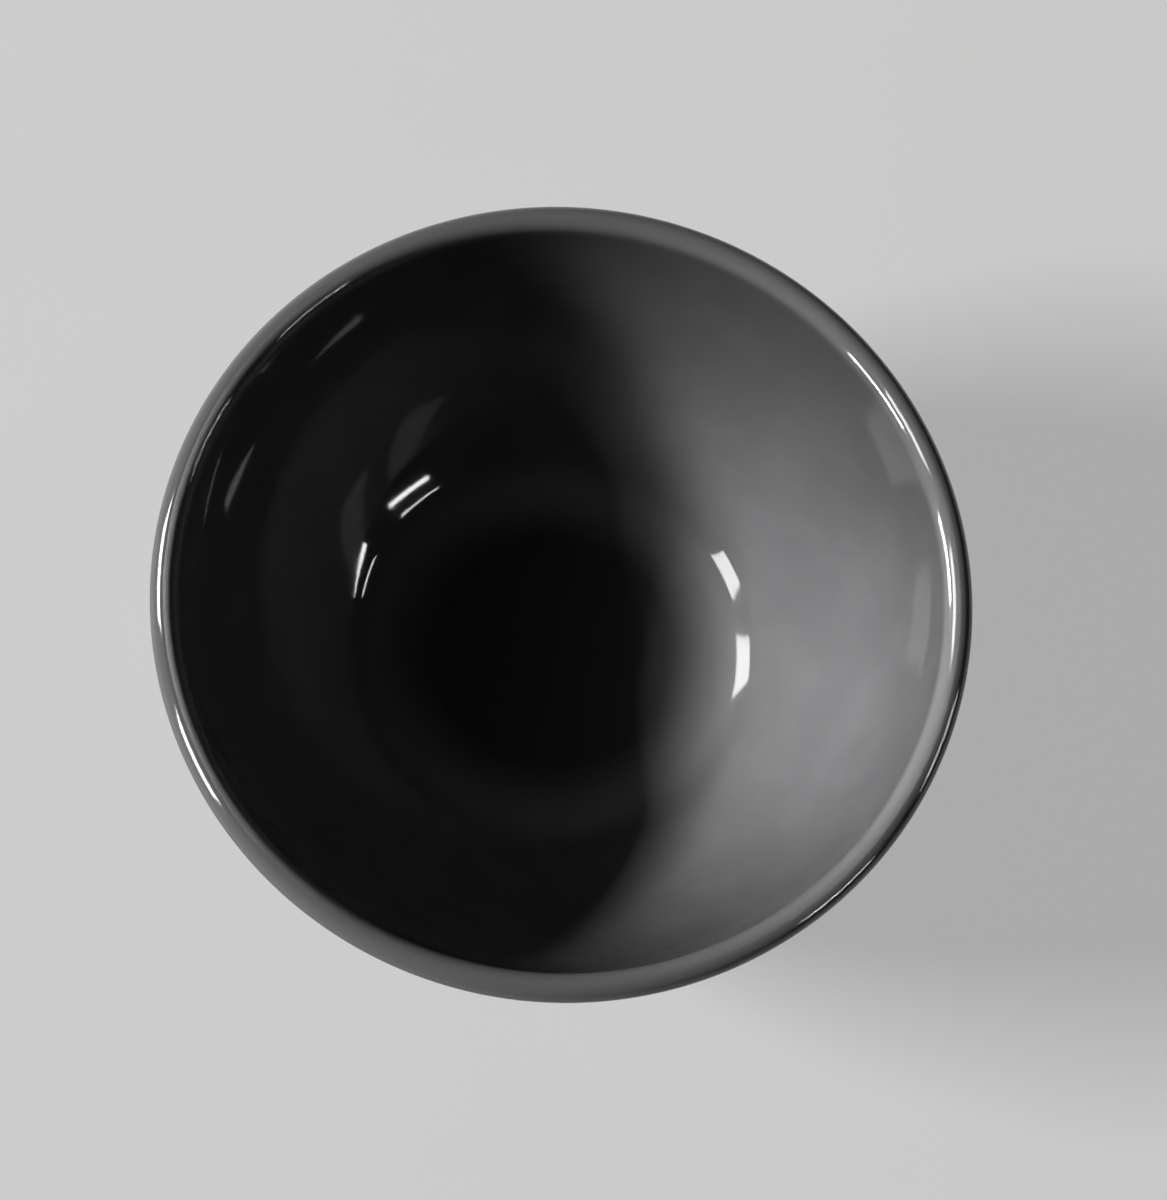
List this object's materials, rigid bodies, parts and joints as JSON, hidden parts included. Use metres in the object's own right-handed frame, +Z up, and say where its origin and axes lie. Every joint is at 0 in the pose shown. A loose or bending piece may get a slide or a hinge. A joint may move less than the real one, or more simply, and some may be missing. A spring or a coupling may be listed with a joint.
{
  "type": "glazed ceramic bowl",
  "caption": "Round black-glazed ceramic bowl with a rounded lip, curved wall, flat inner floor and bare clay foot ring, for serving food.",
  "frame": {"origin": "centre of the foot ring's standing face, on the bowl's axis", "axes": "+Z up along the bowl's axis; the bowl is the same all round it"},
  "size_m": [0.13, 0.13, 0.055],
  "materials": {
    "bare_clay": "unglazed, fine grit, turned rings",
    "black_glaze": "glossy black, slightly uneven"
  },
  "bodies": {
    "root": {"clay_body": "bare_clay", "inner_glaze": "black_glaze", "outer_glaze": "black_glaze", "foot_well_glaze": "black_glaze"}
  },
  "joints": []
}
